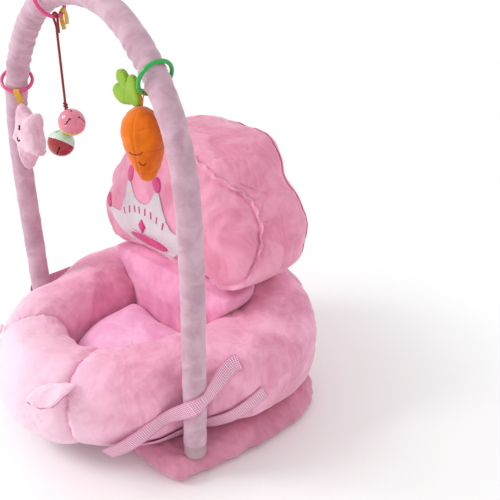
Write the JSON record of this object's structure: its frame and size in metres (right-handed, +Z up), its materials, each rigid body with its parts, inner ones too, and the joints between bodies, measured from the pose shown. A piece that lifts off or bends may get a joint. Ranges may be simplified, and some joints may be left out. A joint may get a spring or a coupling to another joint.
{
  "type": "baby sit-up seat",
  "caption": "Plush floor seat for a baby: padded ring with seat pad and lobed back cushion, and a lift-out padded arch from which soft toys and bells hang.",
  "frame": {"origin": "on the floor, midway between the two arch feet's sides and 100 mm behind the arch's plane, on the base cushion's flat underside", "axes": "+Z up, -Y towards the front roll where the child's legs go, +X towards the right side seen from behind"},
  "size_m": [0.586, 0.5777, 0.758],
  "materials": {
    "plush_pink": "short-pile pink plush over polyester filling",
    "plush_pale": "folded plush edge",
    "plush_rose": "deep pink plush lining",
    "satin_white": "white satin cloth",
    "satin_magenta": "magenta satin stitching",
    "sleeve": "pale pink brushed knit",
    "foam": "white polyethylene foam",
    "tube_plastic": "white extruded tube",
    "cap_plastic": "moulded, fine texture",
    "webbing": "open woven nylon webbing",
    "ring_green": "moulded, smooth",
    "ring_pink": "moulded, smooth",
    "plush_orange": "short-pile orange plush",
    "felt_green": "green felt",
    "plush_star": "pale pink plush",
    "ribbon_yellow": "yellow satin ribbon",
    "cord_red": "twisted red cord",
    "bell_pink": "gloss paint",
    "bell_yellow": "gloss paint",
    "bell_white": "gloss paint",
    "bell_red": "gloss paint",
    "steel": "plain steel ball"
  },
  "bodies": {
    "seat": {"base_cushion": "plush_pink", "front_roll": "plush_pink", "left_arm": "plush_pink", "right_arm": "plush_pink", "back_roll": "plush_pink", "seat_pad": "plush_pink", "back_panel": "plush_pink", "back_cushion": "plush_pink", "seam_ruffle": "plush_pale", "crown_applique": "satin_white", "crown_gem_1": "satin_magenta", "crown_gem_2": "satin_magenta", "crown_gem_3": "satin_magenta", "crown_gem_4": "satin_magenta", "crown_band": "satin_magenta", "crown_diamond": "satin_magenta", "left_upper_strap": "webbing", "left_lower_strap": "webbing", "right_upper_strap": "webbing", "right_lower_strap": "webbing", "left_ear": "plush_pink", "left_ear_lining": "plush_rose", "right_ear": "plush_pink", "right_ear_lining": "plush_rose"},
    "arch": {"arch_cover": "sleeve", "arch_foam": "foam", "arch_tube": "tube_plastic", "left_end_cap": "cap_plastic", "right_end_cap": "cap_plastic"},
    "carrot_ring": {"carrot_ring": "ring_green"},
    "carrot": {"carrot": "plush_orange", "carrot_leaves": "felt_green", "carrot_loop": "plush_orange"},
    "star_ring": {"star_ring": "ring_pink"},
    "star": {"star": "plush_star", "star_ribbon": "ribbon_yellow"},
    "bell_ring": {"bell_ring": "ring_pink", "bell_ribbon": "ribbon_yellow"},
    "bell_cord": {"bell_cord": "cord_red"},
    "pink_bell": {"pink_bell_strand": "cord_red", "pink_bell_upper": "bell_pink", "pink_bell_lower": "bell_yellow", "pink_bell_ball": "steel"},
    "white_bell": {"white_bell_strand": "cord_red", "white_bell_upper": "bell_white", "white_bell_lower": "bell_red", "white_bell_ball": "steel"}
  },
  "joints": [
    {"name": "arch_lift", "type": "slide", "parent": "seat", "child": "arch", "axis": [0, 0, 1], "range_m": [0, 0.16]},
    {"name": "carrot_ring_turn", "type": "hinge", "parent": "arch", "child": "carrot_ring", "pos_m": [0.1944, -0.1, 0.64034], "axis": [-0.5858, 0, 0.8104], "range_deg": [-12, 12]},
    {"name": "carrot_swing", "type": "hinge", "parent": "carrot_ring", "child": "carrot", "pos_m": [0.18269, -0.11492, 0.62006], "axis": [0, 1, 0], "range_deg": [-1, 15]},
    {"name": "star_ring_turn", "type": "hinge", "parent": "arch", "child": "star_ring", "pos_m": [-0.22473, -0.1, 0.58707], "axis": [-0.4028, 0, -0.9153], "range_deg": [-12, 12]},
    {"name": "star_swing", "type": "hinge", "parent": "star_ring", "child": "star", "pos_m": [-0.20745, -0.11164, 0.56831], "axis": [0.5579, 0.8299, 0], "range_deg": [-30, 0]},
    {"name": "bell_ring_turn", "type": "hinge", "parent": "arch", "child": "bell_ring", "pos_m": [-0.0742, -0.1, 0.72848], "axis": [-0.9555, 0, -0.295], "range_deg": [-20, 20]},
    {"name": "cord_swing", "type": "hinge", "parent": "bell_ring", "child": "bell_cord", "pos_m": [-0.06232, -0.0982, 0.70095], "axis": [0, 1, 0], "range_deg": [-25, 8]},
    {"name": "pink_bell_swing", "type": "hinge", "parent": "bell_cord", "child": "pink_bell", "pos_m": [-0.06232, -0.0982, 0.562], "axis": [0, 1, 0], "range_deg": [-18, 0]},
    {"name": "white_bell_swing", "type": "hinge", "parent": "bell_cord", "child": "white_bell", "pos_m": [-0.06232, -0.0982, 0.562], "axis": [0, 1, 0], "range_deg": [0, 20]}
  ]
}
